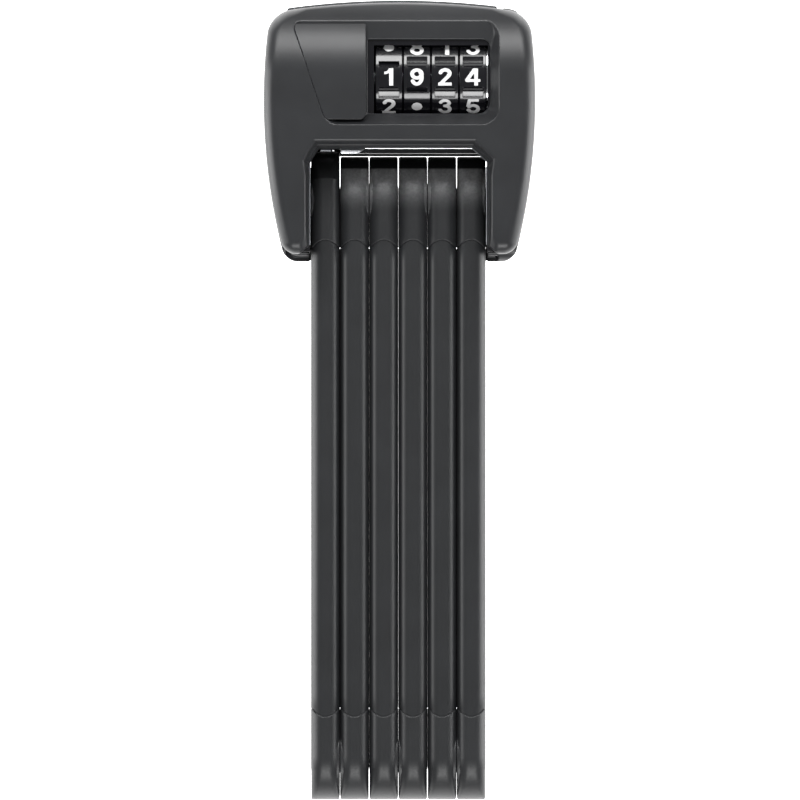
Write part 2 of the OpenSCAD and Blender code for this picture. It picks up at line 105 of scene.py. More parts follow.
def surface(f, lo, hi, h):
    """Closed quad mesh of the solid f < 0 by surface nets, with every point pulled onto f = 0."""
    axes = [np.arange(a - 1.5 * h, b + 2.5 * h, h) for a, b in zip(lo, hi)]
    grid = np.meshgrid(*axes, indexing="ij", sparse=True)
    v = np.broadcast_to(f(*grid), [len(a) for a in axes]).astype(np.float32)
    s = v < 0
    c = np.zeros([n - 1 for n in s.shape], np.int8)
    for i in (0, 1):
        for j in (0, 1):
            for k in (0, 1):
                c += s[i:s.shape[0] - 1 + i, j:s.shape[1] - 1 + j, k:s.shape[2] - 1 + k]
    active = (c > 0) & (c < 8)
    ids = np.full(c.shape, -1, np.int64)
    count = int(active.sum())
    ids[active] = np.arange(count)
    total = np.zeros((count, 3))
    hits = np.zeros(count)
    quads = []
    for ax in range(3):
        b, d = [(1, 2), (2, 0), (0, 1)][ax]
        first = [slice(None)] * 3
        second = [slice(None)] * 3
        first[ax], second[ax] = slice(0, -1), slice(1, None)
        s0, s1 = s[tuple(first)], s[tuple(second)]
        where = np.argwhere(s0 != s1)
        inner = (where[:, b] > 0) & (where[:, b] < s.shape[b] - 1)
        inner &= (where[:, d] > 0) & (where[:, d] < s.shape[d] - 1)
        where = where[inner]
        after = where.copy()
        after[:, ax] += 1
        v0, v1 = v[tuple(where.T)], v[tuple(after.T)]
        point = np.stack([axes[k][where[:, k]] for k in range(3)], 1)
        point[:, ax] += h * v0 / (v0 - v1)
        ring = []
        for ob, od in ((-1, -1), (0, -1), (0, 0), (-1, 0)):
            cell = where.copy()
            cell[:, b] += ob
            cell[:, d] += od
            n = ids[tuple(cell.T)]
            np.add.at(total, n, point)
            np.add.at(hits, n, 1)
            ring.append(n)
        ring = np.stack(ring, 1)
        flip = ~s[tuple(where.T)]
        ring[flip] = ring[flip][:, ::-1]
        quads.append(ring)
    p = total / hits[:, None]
    start = p.copy()
    for _ in range(3):
        g, val = slope(f, p)
        p -= g * np.clip(val, -0.4 * h, 0.4 * h)[:, None]
    far = np.linalg.norm(p - start, axis=1) > 1.2 * h
    p[far] = start[far]
    return p, np.concatenate(quads), slope(f, p)[0]


def slope(f, p, e=0.02):
    """Unit normals of f at the points p, and how far each point is from f = 0."""
    x, y, z = p.T
    g = np.stack([f(x + e, y, z) - f(x - e, y, z), f(x, y + e, z) - f(x, y - e, z),
                  f(x, y, z + e) - f(x, y, z - e)], 1)
    n = np.linalg.norm(g, axis=1)
    n[n == 0] = 1
    return g / n[:, None], f(x, y, z) / np.maximum(n / (2 * e), 0.3)


def mesh_object(name, points, faces, normals=None, mat=None):
    mesh = bpy.data.meshes.new(name)
    mesh.from_pydata((np.asarray(points) * M).tolist(), [], [list(map(int, q)) for q in faces])
    mesh.validate()
    mesh.shade_smooth()
    if normals is not None:
        mesh.normals_split_custom_set_from_vertices(np.asarray(normals).tolist())
    obj = bpy.data.objects.new(name, mesh)
    bpy.context.scene.collection.objects.link(obj)
    if mat:
        mesh.materials.append(mat)
    return obj


def solid(name, f, lo, hi, h, mat):
    return mesh_object(name, *surface(f, lo, hi, h * (1)), mat)


# ---------------------------------------------------------------- materials
def new_material(name, base, rough, metallic=0.0, spec=0.5, coat=0.0):
    mat = bpy.data.materials.new(name)
    mat.use_nodes = True
    tree = mat.node_tree
    shader = tree.nodes["Principled BSDF"]
    shader.inputs["Base Color"].default_value = (*base, 1)
    shader.inputs["Roughness"].default_value = rough
    shader.inputs["Metallic"].default_value = metallic
    shader.inputs["Specular IOR Level"].default_value = spec
    shader.inputs["Coat Weight"].default_value = coat
    shader.inputs["Coat Roughness"].default_value = 0.08
    return mat, tree, shader


def noise(tree, scale, detail=3.0, rough=0.55, stretch=(1, 1, 1)):
    """Noise over the piece's own place, in cycles per metre."""
    coord = tree.nodes.new("ShaderNodeTexCoord")
    mapping = tree.nodes.new("ShaderNodeMapping")
    mapping.inputs["Scale"].default_value = stretch
    tex = tree.nodes.new("ShaderNodeTexNoise")
    tex.inputs["Scale"].default_value = scale
    tex.inputs["Detail"].default_value = detail
    tex.inputs["Roughness"].default_value = rough
    tree.links.new(coord.outputs["Object"], mapping.inputs["Vector"])
    tree.links.new(mapping.outputs["Vector"], tex.inputs["Vector"])
    return tex.outputs["Fac"]


def remap(tree, value, lo, hi, out_lo, out_hi):
    node = tree.nodes.new("ShaderNodeMapRange")
    for key, v in (("From Min", lo), ("From Max", hi), ("To Min", out_lo), ("To Max", out_hi)):
        node.inputs[key].default_value = v
    tree.links.new(value, node.inputs["Value"])
    return node.outputs["Result"]


def tint(tree, shader, value, dark, light):
    node = tree.nodes.new("ShaderNodeMix")
    node.data_type = "RGBA"
    node.inputs["A"].default_value = (*dark, 1)
    node.inputs["B"].default_value = (*light, 1)
    tree.links.new(value, node.inputs["Factor"])
    tree.links.new(node.outputs["Result"], shader.inputs["Base Color"])


def bump(tree, shader, heights):
    """Chain of bumps from (value, strength, distance in metres)."""
    last = None
    for value, strength, distance in heights:
        node = tree.nodes.new("ShaderNodeBump")
        node.inputs["Strength"].default_value = strength
        node.inputs["Distance"].default_value = distance
        tree.links.new(value, node.inputs["Height"])
        if last:
            tree.links.new(last.outputs["Normal"], node.inputs["Normal"])
        last = node
    tree.links.new(last.outputs["Normal"], shader.inputs["Normal"])


def moulded(name, base, rough, grain, depth, speckle=0.0):
    """Moulded plastic: spark-eroded grain, faint flow clouds and, if asked, light speckles."""
    mat, tree, shader = new_material(name, base, rough)
    fine = noise(tree, grain, 4, 0.6)
    cloud = noise(tree, 90, 2, 0.5)
    tint(tree, shader, remap(tree, cloud, 0.3, 0.7, 0, 1),
         [c * 0.88 for c in base], [c * 1.12 for c in base])
    rough_map = remap(tree, fine, 0.3, 0.7, rough - 0.05, rough + 0.06)
    tree.links.new(rough_map, shader.inputs["Roughness"])
    heights = [(fine, 0.5, depth)]
    if speckle:
        spots = noise(tree, grain * 0.55, 1, 0.4)
        heights.append((remap(tree, spots, 0.60, 0.72, 0, 1), speckle, depth * 2.5))
    bump(tree, shader, heights)
    return mat


def painted_highlight_plastic(name, base, highlight_colour):
    """Cap plastic with a painted highlight at the front, just below its round end."""
    mat = moulded(name, base, 0.42, 3600, 1.2e-5, speckle=0.35)
    tree = mat.node_tree
    shader = tree.nodes["Principled BSDF"]
    coord = tree.nodes.new("ShaderNodeTexCoord")
    split = tree.nodes.new("ShaderNodeSeparateXYZ")
    tree.links.new(coord.outputs["Object"], split.inputs["Vector"])
    # Painted highlight: the base colour lightens over 11 mm up to a sharp edge 7.4 mm above the pivot, on
    # the front only, broken up by noise
    end, fade, sharp = (UP_Y + 7.4) * M, 11 * M, 0.4 * M
    below = remap(tree, split.outputs["Y"], end - fade, end, 0, 1)
    above = remap(tree, split.outputs["Y"], end, end + sharp, 1, 0)
    blotch = remap(tree, noise(tree, 1400, 4, 0.7), 0.3, 0.7, 0.6, 1)
    front = remap(tree, split.outputs["Z"], 15 * M, 18 * M, 0, 1)
    highlight_amount = below
    for factor in (below, above, front, blotch):
        node = tree.nodes.new("ShaderNodeMath")
        node.operation = "MULTIPLY"
        tree.links.new(highlight_amount, node.inputs[0])
        tree.links.new(factor, node.inputs[1])
        highlight_amount = node.outputs["Value"]
    tint(tree, shader, highlight_amount, base, highlight_colour)
    return mat


def turned_metal(name, base, rough, stretch):
    """Steel or brass with tool marks that are drawn out along the axis whose stretch is small."""
    mat, tree, shader = new_material(name, base, rough, metallic=1.0)
    lines = noise(tree, 5000, 3, 0.6, stretch)
    cloud = noise(tree, 300, 3, 0.6)
    tint(tree, shader, remap(tree, cloud, 0.3, 0.7, 0, 1),
         [c * 0.85 for c in base], [min(c * 1.1, 1) for c in base])
    tree.links.new(remap(tree, lines, 0.3, 0.7, rough * 0.75, rough * 1.3), shader.inputs["Roughness"])
    bump(tree, shader, [(lines, 0.25, 2e-6)])
    return mat


def gloss(name, base, rough):
    """Polished black plastic with a clear coat and faint ripples."""
    mat, tree, shader = new_material(name, base, rough, coat=0.6)
    cloud = noise(tree, 500, 3, 0.6)
    tint(tree, shader, cloud, [c * 0.8 for c in base], [c * 1.25 for c in base])
    tree.links.new(remap(tree, cloud, 0.3, 0.7, rough * 0.8, rough * 1.3), shader.inputs["Roughness"])
    bump(tree, shader, [(noise(tree, 2500, 2, 0.5), 0.12, 3e-6)])
    return mat


def paint(name, base):
    """Matt paint that fills the digits, slightly dusty."""
    mat, tree, shader = new_material(name, base, 0.5)
    dust = noise(tree, 4000, 3, 0.6)
    tint(tree, shader, remap(tree, dust, 0.3, 0.7, 0, 1), [c * 0.93 for c in base], base)
    bump(tree, shader, [(dust, 0.3, 6e-6)])
    return mat


CAP_BLACK = (0.017, 0.018, 0.0195)
COVER = moulded("cover_plastic", (0.020, 0.021, 0.023), 0.38, 5200, 6e-6)
STRIP = moulded("strip_plastic", (0.018, 0.019, 0.021), 0.42, 5200, 6e-6)
SLEEVE = moulded("sleeve_plastic", (0.015, 0.016, 0.0175), 0.42, 3800, 5e-6)
CAP = moulded("cap_plastic", CAP_BLACK, 0.42, 3600, 1.2e-5, speckle=0.35)
# Cap plastic with a painted highlight below the upper round end
CAP_PAINTED_HIGHLIGHT = painted_highlight_plastic("cap_plastic_painted_highlight", CAP_BLACK, (0.50, 0.505, 0.515))
GLOSS = gloss("gloss_black", (0.006, 0.006, 0.008), 0.16)
SHEET = moulded("dark_sheet", (0.015, 0.015, 0.017), 0.36, 6000, 4e-6)
CASE = turned_metal("case_steel", (0.42, 0.43, 0.45), 0.34, (1, 0.08, 1))
CORE = turned_metal("bar_steel", (0.35, 0.36, 0.38), 0.38, (1, 0.05, 1))
RIVET = turned_metal("rivet_steel", (0.30, 0.31, 0.33), 0.38, (0.1, 1, 1))
SPRING = turned_metal("spring_steel", (0.55, 0.56, 0.58), 0.28, (1, 1, 0.1))
POLISHED = turned_metal("polished_steel", (0.80, 0.81, 0.83), 0.12, (0.1, 1, 1))
BRASS = turned_metal("brass", (0.62, 0.47, 0.22), 0.30, (0.1, 1, 1))
WHITE = paint("digit_white", (0.90, 0.90, 0.90))


# ---------------------------------------------------------------- lock body
TOP = BODY_HI[1]
CROWN_R = 203
SIDE_R = 150
WIDEST_Y = UP_Y + 24.5
BROW_Y = UP_Y + 31.5
BROW_R = 22
BROW_Z = BODY_T - BROW_R
WALL = 2.4
THROAT_X = (-22.1, 21.6)
THROAT_TOP = UP_Y + 12.4
CHAMFER_Z = BODY_T - 4.2
FLOOR_Z = 32.0
POCKET_DRAFT = 0.66
RECESS_RIGHT = 24.6
RECESS_LOW = UP_Y + 18.3


def plan(x, y, foot):
    """Outline of the lock body from the front: arched crown, bowed sides and a level foot."""
    crown = np.hypot(x, y - (TOP - CROWN_R)) - CROWN_R
    side = np.hypot(np.abs(x) + SIDE_R - BODY_W / 2, y - WIDEST_Y) - SIDE_R
    return round_max(round_max(crown, side, 5.0), foot - y, 3.0)


def skin(y, z):
    """Distance from the front face, which is flat and rolls back at the brow."""
    return np.where(y < BROW_Y, z - BODY_T, np.hypot(y - BROW_Y, z - BROW_Z) - BROW_R)


def throat(x, y):
    """Outline of the fork's opening, with its two cut corners."""
    return half_planes(x, y, ((THROAT_X[0], 0), (-1, 0)), ((THROAT_X[1], 0), (1, 0)),
                       ((0, THROAT_TOP), (0, 1)), ((17.9, THROAT_TOP), (3.2, 3.7)),
                       ((-19.9, THROAT_TOP), (-3.4, 2.2)))


def recess(x, y):
    """Outline of the hollow that the slide cover and the window lie in."""
    top = np.hypot(x, y - (TOP - CROWN_R)) - (CROWN_R - 2.75)
    d = round_max(round_max(top, x - RECESS_RIGHT, 4.8), RECESS_LOW - y, 4.5)
    left = half_planes(x, y, ((-18.05, RECESS_LOW), (-27.3, -9.25)))
    return round_max(d, left, 2.8)


def pocket(x, y, z):
    """The recess as a bowl: its walls lean in with depth and its floor is flat."""
    depth = np.maximum(-skin(y, z), 0)
    return round_max(recess(x, y) + POCKET_DRAFT * depth, FLOOR_Z - z, 0.5)


def window(x, y):
    """Outline of the opening over the number wheels."""
    d = round_max(x - 22.3, y - (UP_Y + 39.35), 2.0)
    d = round_max(d, UP_Y + 21.1 - y, 3.0)
    return round_max(d, -7.8 - x, 0.4)


def body(x, y, z, foot):
    """Both covers together: the front edge is well rounded at the sides and crisp along the crown."""
    side = np.maximum(np.clip((np.abs(x) - 23) / 7, 0, 1), np.clip((UP_Y + 38 - y) / 8, 0, 1))
    return round_max(round_max(plan(x, y, foot), skin(y, z), 0.8 + 2.6 * side), -z, 3.5)


def front_cover(x, y, z):
    """Front shell: a bowl with the throat, the recess, the window and the slide cover's groove cut out."""
    low = np.clip((UP_Y - 0.5 - y) / 13, 0, 1)
    outer = body(x, y, z, FRONT_FOOT) + 0.1 + 0.25 * low * low
    hollow = np.maximum(outer + WALL, -np.maximum(recess(x, y) - 1.2, FLOOR_Z - 0.8 - z))
    hollow = np.maximum(hollow, 1.2 - throat(x, y))
    d = cut(round_max(outer, SPLIT_Z + 0.06 - z, 0.5), hollow, 0.2)
    top = np.clip((y - (UP_Y + 6)) / 6, 0, 1)
    flare = (0.26 + 0.22 * top) * np.maximum(z - CHAMFER_Z, 0)
    d = cut(d, throat(x, y) - flare, 0.55)
    leg = np.abs(x + 0.25)
    toe = half_planes(leg, y, ((22.0, FRONT_FOOT + 2.3), (-2.1, -2.7)))
    d = round_max(d, toe, 0.25)
    facet = np.minimum(22.6 - leg, 1.5) * 0.62
    facet = facet + (FRONT_FOOT + 3.4 - y) * 0.30 + (z - BODY_T + 1.3) * 0.72
    d = round_max(d, facet, 0.4)
    d = cut(d, pocket(x, y, z), 0.14)
    d = cut(d, np.maximum(window(x, y), 20 - z), 0.3)
    tail = np.maximum(slab(x, -28.3, -8.3), slab(y, UP_Y + 20.7, UP_Y + 41.1))
    return np.maximum(d, -np.maximum(tail, slab(z, FLOOR_Z, FLOOR_Z + 0.95)))


SCREWS = [(-26.6, UP_Y - 10), (26.6, UP_Y - 10), (-20, UP_Y + 41.5), (30.8, UP_Y + 36.5)]
PLATE_T = 2.3
STRIP_X = (-27.8, 24.1)
STRIP_Z = 9.0
BUTTON_X = (25.4, 29.2)
BUTTON_Z = (9.5, 19.5)
RIB_PITCH = 1.6


def rear_cover(x, y, z):
    """Rear shell, with a thin plate left behind the throat's upper edge."""
    outer = body(x, y, z, REAR_FOOT)
    d = round_max(outer, z - SPLIT_Z + 0.06, 0.4)
    d = round_max(d, round_max(REAR_FOOT - y, z - SPLIT_Z + 0.06, 4.0), 0.1)
    d = cut(d, np.maximum(outer + WALL, WALL - z), 0.2)
    wide = np.maximum(slab(x, *THROAT_X), y - (UP_Y + 11.2))
    by_first_bar = np.maximum(slab(x, THROAT_X[0], -14.4), y - (UP_Y + 12.8))
    opening = np.minimum(wide, by_first_bar)
    below_plate = y - (UP_Y + 10.75)
    d = cut(d, np.maximum(opening, np.minimum(PLATE_T - z, below_plate)), 0.1)
    # Cutting the same edge twice opens the slit above the bars by another 0.03 mm
    d = cut(d, np.maximum(opening, below_plate), 0.1)
    gap = 0.15
    band = np.maximum(slab(x, STRIP_X[0] - gap, STRIP_X[1] + gap), STRIP_Z - gap - z)
    d = cut(d, np.maximum(band, -1.5 - plan(x, y, REAR_FOOT)), 0.2)
    hole = np.maximum(slab(x, BUTTON_X[0] - gap, BUTTON_X[1] + gap),
                      slab(z, BUTTON_Z[0] - gap, BUTTON_Z[1] + gap))
    d = cut(d, np.maximum(hole, UP_Y + 42 - y), 0.2)
    for sx, sy in SCREWS:
        r = np.hypot(x - sx, y - sy)
        d = cut(d, np.minimum(np.maximum(r - 2.5, z - 1.4), r - 1.35), 0.15)
    return d


def top_strip(x, y, z):
    """Insert that lies a little below the crown's surface."""
    outer = plan(x, y, REAR_FOOT)
    sides = round_max(slab(x, *STRIP_X), slab(z, STRIP_Z, SPLIT_Z - 0.05), 0.6)
    return round_max(round_max(outer - 0.58, sides, 0.45), -1.45 - outer, 0.1)


def release_button(x, y, z):
    """Ribbed push button in the crown, with a wider foot that holds it in the rear cover."""
    outer = plan(x, y, REAR_FOOT)
    stem = round_max(slab(x, *BUTTON_X), slab(z, *BUTTON_Z), 0.8)
    along = z - sum(BUTTON_Z) / 2
    ribs = 0.12 * np.maximum(np.cos(along * 2 * math.pi / RIB_PITCH), 0) * (np.abs(along) < 3.6)
    stem = round_max(stem, outer - 0.28 + ribs, 0.5)
    foot = np.maximum(np.maximum(slab(x, BUTTON_X[0] - 0.6, BUTTON_X[1] + 0.6),
                                 slab(z, BUTTON_Z[0] - 0.3, BUTTON_Z[1] + 0.3)), y - (UP_Y + 40))
    return np.maximum(np.minimum(stem, foot), UP_Y + 39 - y)


PAD_RIGHT = -8.3
PAD_Y = (UP_Y + 19.6, UP_Y + 43.7)
PAD_GAP = 0.07
LEAF_Z = (32.45, 32.85)
COVER_TRAVEL = 30.5


def slide_cover(x, y, z):
    """Thumb pad flush with the skin, hollow below, over the thin plate that closes the window."""
    depth = np.maximum(-skin(y, z), 0)
    outline = round_max(round_max(x - PAD_RIGHT, PAD_Y[0] - y, 1.6), y - PAD_Y[1], 0.6)
    outline = round_max(outline, recess(x, y) + PAD_GAP, 0.2)
    pad = round_max(outline, skin(y, z), 0.12)
    opened = np.maximum(recess(x, y) + PAD_GAP + POCKET_DRAFT * depth, LEAF_Z[0] - z)
    bowl = np.maximum(RECESS_LOW + 0.2 - y + POCKET_DRAFT * (BODY_T - z), LEAF_Z[0] - z)
    pad = np.maximum(pad, np.maximum(np.where(x < -12, opened, bowl), bowl))
    hollow = np.maximum(np.maximum(outline + 0.9, skin(y, z) + 0.9), LEAF_Z[1] - z)
    pad = np.maximum(pad, -hollow)
    plate = np.maximum(np.maximum(slab(x, -28, PAD_RIGHT), slab(y, UP_Y + 21, UP_Y + 40.9)),
                       slab(z, *LEAF_Z))
    closed = recess(x + COVER_TRAVEL, y) + 0.1 + POCKET_DRAFT * depth
    return np.maximum(np.minimum(pad, plate), closed)


def make_body_pieces():
    reach = BODY_W / 2
    pieces = [
        ("front_shell", front_cover, (-reach, FRONT_FOOT, SPLIT_Z), (reach, TOP, BODY_T), 0.34, COVER,
         "front_cover", "lock_body"),
        ("rear_shell", rear_cover, (-reach, REAR_FOOT, 0), (reach, TOP, SPLIT_Z), 0.45, COVER,
         "rear_cover", "lock_body"),
        ("crown_strip", top_strip, (STRIP_X[0], TOP - 5, STRIP_Z), (STRIP_X[1], TOP + 0.6, SPLIT_Z), 0.3,
         STRIP, "top_strip", "lock_body"),
        ("push_button", release_button, (BUTTON_X[0] - 0.7, UP_Y + 39, BUTTON_Z[0] - 0.4),
         (BUTTON_X[1] + 0.7, TOP + 0.4, BUTTON_Z[1] + 0.4), 0.2, STRIP, "release_button", "button"),
        ("thumb_slide", slide_cover, (-28, PAD_Y[0], 31), (PAD_RIGHT, PAD_Y[1], BODY_T), 0.22, COVER,
         "slide_cover", "slide_cover"),
    ]
    for name, f, lo, hi, h, mat, node, rides in pieces:
        obj = solid(name, f, lo, hi, h, mat)
        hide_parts(node)
        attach(obj, rides)


# ---------------------------------------------------------------- bars
BAR_HALF = PIVOT_Z
BAR_T = box_mm("bar_caps_2")[1][0] - box_mm("bar_caps_2")[0][0]
CAP_L = 11.4
FIRST_END_R = 11.8
CORE_R = 9.3
CORE_T = 5.0
BOSS_R = 9.7
HEAD_R = 6.0
NEAR_T = BAR_PITCH - 0.02


def bar_outline(y, z, end_r=None):
    """Section of a bar end through its flat side; the pivot is at the origin and the bar runs to -y."""
    end = np.hypot(y, z) - BAR_HALF
    d = np.where(y < 0, np.abs(z) - BAR_HALF, end)
    if end_r:
        cap = np.maximum(np.hypot(y, z) - end_r, np.abs(z) - BAR_HALF)
        d = np.minimum(d, np.maximum(cap, -y))
    return d


def edge_radius(y, z):
    """Long edges are well rounded, and the far end only a little."""
    up = np.clip(y / np.maximum(np.hypot(y, z), 1e-6), 0, 1)
    return 3.0 - 2.6 * up * up * up


def cap_solid(x, y, z, boss_side, end_r):
    """End cap with its pivot at the origin; the bar runs towards -y."""
    d = bar_outline(y, z, end_r)
    blend = np.clip((y - 2.6) / 0.8, 0, 1)
    half = NEAR_T / 2 * (1 - blend) + BAR_T / 2 * blend
    r = edge_radius(y, z)
    c = round_max(d, np.abs(x) - half, r)
    face = np.maximum(x * boss_side - (BAR_T / 2 + 0.06), -x * boss_side)
    c = np.minimum(c, round_max(np.hypot(y, z) - BOSS_R, face, 0.2))
    tongue = 2.0 * np.clip(1 - (x / 3.3) ** 2, 0, 1)
    c = round_max(c, -(CAP_L + 0.6) + tongue - y, 0.3)
    stadium = np.where(y < 0, np.abs(z), np.hypot(y, z)) - CORE_R
    c = np.maximum(c, -np.maximum(stadium, np.abs(x) - CORE_T / 2))
    head = np.maximum(np.hypot(y, z) - HEAD_R - 0.12, BAR_T / 2 - 0.95 + x * boss_side)
    c = cut(c, np.minimum(head, np.hypot(y, z) - 4.1), 0.1)
    return c


def make_cap(boss_side, end_r, flip_y):
    """Mesh of an end cap, turned end for end for the lower end of a bar."""
    lo = (-BAR_PITCH / 2, -CAP_L - 1, -BAR_HALF)
    hi = (BAR_PITCH / 2, end_r or BAR_HALF, BAR_HALF)
    p, quads, n = surface(lambda x, y, z: cap_solid(x, y, z, boss_side, end_r), lo, hi,
                          0.27)
    sy = -1 if flip_y else 1
    p = p * [1, sy, 1]
    n = n * [1, sy, 1]
    if flip_y:
        quads = quads[:, ::-1]
    return p, quads, n


def rounded_section(width, depth, r, steps=10):
    """Corner points of a rounded rectangle round the origin, in order."""
    pts = []
    for cx, cz, a0 in ((1, 1, 0), (-1, 1, 90), (-1, -1, 180), (1, -1, 270)):
        for k in range(steps + 1):
            a = math.radians(a0 + 90 * k / steps)
            pts.append((cx * (width / 2 - r) + r * math.cos(a),
                        cz * (depth / 2 - r) + r * math.sin(a)))
    return pts


def make_sleeve(i, x):
    """Smooth cover of a bar's middle: its ends run under the caps."""
    outer = rounded_section(NEAR_T, 2 * BAR_HALF - 0.7, 2.9)
    tucked = rounded_section(NEAR_T - 0.2, 2 * BAR_HALF - 0.7, 2.9)
    inner = rounded_section(CORE_T, 2 * CORE_R, 0.05)
    n = len(outer)
    low, high = LOW_Y + CAP_L - 2.4, UP_Y - CAP_L + 2.4
    lap, step = 3.0, 0.2
    middle = np.linspace(low + lap + step, high - lap - step, 38)
    ys = [low, low + lap, *middle, high - lap, high]
    points, faces = [], []
    for y in ys:
        section = outer if middle[0] <= y <= middle[-1] else tucked
        points += [(x + px, y, PIVOT_Z + pz) for px, pz in section]
    for y in (ys[-1], ys[0]):
        points += [(x + px, y, PIVOT_Z + pz) for px, pz in inner]
    rings = [k * n for k in range(len(ys) + 2)] + [0]
    for a, b in zip(rings, rings[1:]):
        faces += [(a + k, b + k, b + (k + 1) % n, a + (k + 1) % n) for k in range(n)]
    obj = mesh_object(f"sleeve_{i}", points, faces, None, SLEEVE)
    obj.data.set_sharp_from_angle(angle=math.radians(40))
    return obj


def make_bars():
    made = {}
    for i, x in enumerate(BAR_X, 1):
        upper = -1 if i % 2 else 1
        for end, side in (("upper", upper), ("lower", -upper)):
            end_r = FIRST_END_R if i == 1 and end == "upper" else None
            key = (side, end_r, end == "lower")
            if key not in made:
                made[key] = make_cap(*key)
            p, quads, n = made[key]
            place = p + [x, UP_Y if end == "upper" else LOW_Y, PIVOT_Z]
            # The upper caps of bars 2 to 6 carry the painted highlight
            painted_highlight_cap = end == "upper" and i > 1
            obj = mesh_object(f"cap_{end}_{i}", place, quads, n, CAP_PAINTED_HIGHLIGHT if painted_highlight_cap else CAP)
            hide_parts(f"bar_caps_{i}")
            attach(obj, f"bar_{i}")
        sleeve = make_sleeve(i, x)
        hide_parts(f"bar_sleeve_{i}")
        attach(sleeve, f"bar_{i}")


# ---------------------------------------------------------------- number wheels
STEP = 2 * math.pi / 10
SHOWN = (1, 9, 2, 4)
NOTCH_W = 5.0
NOTCH_A = math.radians(6.2)
NOTCH_D = 1.0
BORE_R = 7.5


def notch_depth(theta, x, blank_turn):
    """V-shaped finger notch between two digits; beside the dot only its far half is cut."""
    off = (theta + STEP) % STEP - STEP / 2
    near = np.cos(theta - blank_turn) > math.cos(STEP / 2 + 0.002)
    depth = NOTCH_D * np.clip(1 - np.abs(off) / NOTCH_A, 0, 1)
    depth = np.where(near & (np.abs(off) > 0.006), 0, depth)
    return depth * np.clip((NOTCH_W / 2 - np.abs(x)) / 0.12 + 0.5, 0, 1)


def wheel_radius(theta, x, blank_turn):
    """Radius of a number wheel at an angle and a place across it, with broken rims."""
    rim = WHEEL_W / 2 - np.abs(x)
    r = WHEEL_R - 0.05 - 0.25 * np.clip(1 - rim / 0.25, 0, 1) ** 2
    return r - notch_depth(theta, x, blank_turn)


def spread(*stops):
    """Places from (start, end, count) runs, in order and without repeats."""
    return np.unique(np.round(np.concatenate([np.linspace(*s) for s in stops]), 5))


def wheel_turns():
    """Angles with close rows at the notches' edges and floors."""
    a, b = -NOTCH_A, NOTCH_A
    edge, beside, floor, slope_end = 0.008, 0.01, 0.007, 0.012
    runs = ((-STEP / 2, a - beside, 10), (a - edge, a + edge, 4), (a + 0.02, -slope_end, 4),
            (-floor, floor, 5),
            (slope_end, b - 0.02, 4), (b - edge, b + edge, 4), (b + beside, STEP / 2 - 0.03, 9))
    rows = []
    for k in range(10):
        mid = (k + 0.5) * STEP
        rows.append(spread(*((mid + start, mid + end, count) for start, end, count in runs)))
    return np.concatenate(rows)


def make_wheel(i, x0):
    """Number wheel as a closed sheet of quads: its tread, both sides and its bore."""
    half = NOTCH_W / 2
    thetas = wheel_turns()
    around = len(thetas)
    side = spread((half - 0.12, half + 0.12, 5), (half + 0.2, WHEEL_W / 2, 8))
    xs = np.concatenate([-side[::-1], np.linspace(-half + 0.3, half - 0.3, 5), side])
    blank_turn = SHOWN[i - 1] * STEP
    r = wheel_radius(thetas[:, None], xs[None, :], blank_turn)
    columns = [(xs[0], np.full(around, BORE_R))]
    columns += [(x, r[:, k]) for k, x in enumerate(xs)]
    columns += [(xs[-1], np.full(around, BORE_R))]
    points, faces = [], []
    for x, radius in columns:
        y, z = WHEEL_Y + radius * np.sin(thetas), WHEEL_Z + radius * np.cos(thetas)
        points.append(np.stack([np.full(around, x0 + x), y, z], 1))
    n = len(columns)
    for c in range(n):
        a, b = c * around, ((c + 1) % n) * around
        faces += [(a + k, b + k, b + (k + 1) % around, a + (k + 1) % around) for k in range(around)]
    obj = mesh_object(f"drum_{i}", np.concatenate(points), faces, None, GLOSS)
    obj.data.set_sharp_from_angle(angle=math.radians(18))
    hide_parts(f"number_wheel_{i}")
    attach(obj, f"wheel_{i}")


# Digits are built from strokes, and are pressed to DIGIT_HEIGHT of the height they are drawn at
PEN = 0.47
DIGIT_HEIGHT = 0.87


def line(x, y, x0, y0, x1, y1, r=PEN):
    """Stroke with round ends."""
    dx, dy = x1 - x0, y1 - y0
    t = np.clip(((x - x0) * dx + (y - y0) * dy) / (dx * dx + dy * dy), 0, 1)
    return np.hypot(x - x0 - t * dx, y - y0 - t * dy) - r


def box(x, y, x0, x1, y0, y1):
    """Stroke with square ends."""
    return np.maximum(slab(x, x0, x1), slab(y, y0, y1))


def arc(x, y, cx, cy, rx, ry, a0, a1, r=PEN):
    """Stroke along an ellipse from angle a0 to a1 in degrees, counterclockwise."""
    angles = np.radians(np.linspace(a0, a1, 40))
    d = np.full(np.broadcast(x, y).shape, 9.0)
    for a, b in zip(angles, angles[1:]):
        d = np.minimum(d, line(x, y, cx + rx * np.cos(a), cy + ry * np.sin(a),
                               cx + rx * np.cos(b), cy + ry * np.sin(b), r))
    return d


def union(*parts):
    out = parts[0]
    for part in parts[1:]:
        out = np.minimum(out, part)
    return out


def sheared(x, y, x0, y0, x1, y1, half, low, high):
    """Slanted stroke cut level at its two ends."""
    n = math.hypot(x1 - x0, y1 - y0)
    away = ((x - x0) * (y1 - y0) - (y - y0) * (x1 - x0)) / n
    return np.maximum(np.abs(away) - half, slab(y, low, high))


